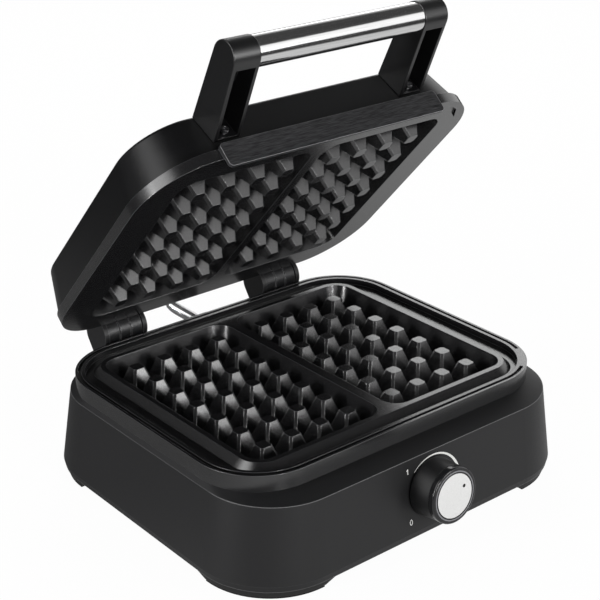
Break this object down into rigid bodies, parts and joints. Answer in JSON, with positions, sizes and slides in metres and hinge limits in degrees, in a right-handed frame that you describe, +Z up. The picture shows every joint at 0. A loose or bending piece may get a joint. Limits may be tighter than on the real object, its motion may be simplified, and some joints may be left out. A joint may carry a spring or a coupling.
{
  "type": "belgian waffle maker",
  "caption": "Open electric waffle maker with deep studded plates, a hinged lid with a tubular handle, a dial on the front and a flexible conduit at the back.",
  "frame": {"origin": "on the surface it stands on, under the middle of the bounding box", "axes": "+X to the user's right, +Y away from the user, +Z up; the knob is on -Y"},
  "size_m": [0.2978, 0.3262, 0.3325],
  "materials": {
    "plate_coating": "satin non-stick coating on die-cast metal",
    "housing_black": "matte black moulded",
    "cover_black": "matte black moulded",
    "foot_black": "matte black moulded",
    "pad_rubber": "soft black rubber",
    "screw_steel": "plated steel",
    "element_steel": "sheathed tube, dulled by heat",
    "reflector_aluminium": "thin bright sheet",
    "knob_black": "matte grip with a glossy collar",
    "cap_steel": "brushed disc",
    "shaft_brass": "turned",
    "thermostat_body": "plated sheet",
    "terminal_plastic": "pale heat-proof moulding",
    "gland_plastic": "black moulded",
    "bracket_black": "satin black paint",
    "pin_steel": "plain steel",
    "barrel_metal": "dark plated steel",
    "lid_black": "satin black",
    "panel_steel": "brushed sheet",
    "strip_black": "black, brushed across",
    "handle_black": "satin black moulded",
    "tube_steel": "polished stainless tube",
    "core_plastic": "plain moulded core",
    "conduit_steel": "flexible ribbed steel"
  },
  "bodies": {
    "base": {"lower_plate": "plate_coating", "base_housing": "housing_black", "bottom_cover": "cover_black", "foot_front_left": "foot_black", "foot_front_right": "foot_black", "foot_rear_left": "foot_black", "foot_rear_right": "foot_black", "foot_pads": "pad_rubber", "bottom_screws": "screw_steel", "lower_heating_element": "element_steel", "lower_reflector": "reflector_aluminium", "lower_reflector_screws": "screw_steel", "lower_plate_screws": "screw_steel", "thermostat": "thermostat_body", "terminal_block": "terminal_plastic", "cord_gland": "gland_plastic", "hinge_bracket_left": "bracket_black", "hinge_bracket_right": "bracket_black", "hinge_pin_left": "pin_steel", "hinge_pin_right": "pin_steel", "hinge_screws": "screw_steel", "conduit_boss": "handle_black", "wire_conduit": "conduit_steel"},
    "lid": {"upper_plate": "plate_coating", "upper_heating_element": "element_steel", "upper_reflector": "reflector_aluminium", "upper_reflector_screws": "screw_steel", "upper_plate_screws": "screw_steel", "hinge_barrel_left": "barrel_metal", "hinge_barrel_right": "barrel_metal", "hinge_arm_left": "bracket_black", "hinge_arm_right": "bracket_black", "arm_screws": "screw_steel", "lid_shell": "lid_black", "lid_panel": "panel_steel", "front_strip": "strip_black", "thermal_fuse": "terminal_plastic", "handle_bracket_left": "handle_black", "handle_bracket_right": "handle_black", "handle_screws": "screw_steel", "handle_tube": "tube_steel", "handle_core": "core_plastic", "conduit_collar": "handle_black"},
    "knob": {"knob": "knob_black", "knob_cap": "cap_steel", "thermostat_shaft": "shaft_brass"}
  },
  "joints": [
    {"name": "lid_hinge", "type": "hinge", "parent": "base", "child": "lid", "pos_m": [0, 0.1198, 0.082], "axis": [-1, 0, 0], "range_deg": [-47.7, 52.3], "deforming": ["wire_conduit"]},
    {"name": "knob_turn", "type": "hinge", "parent": "base", "child": "knob", "pos_m": [0, -0.13926, 0.0392], "axis": [0, 0.9948, -0.1019], "range_deg": [-207, 8]}
  ]
}
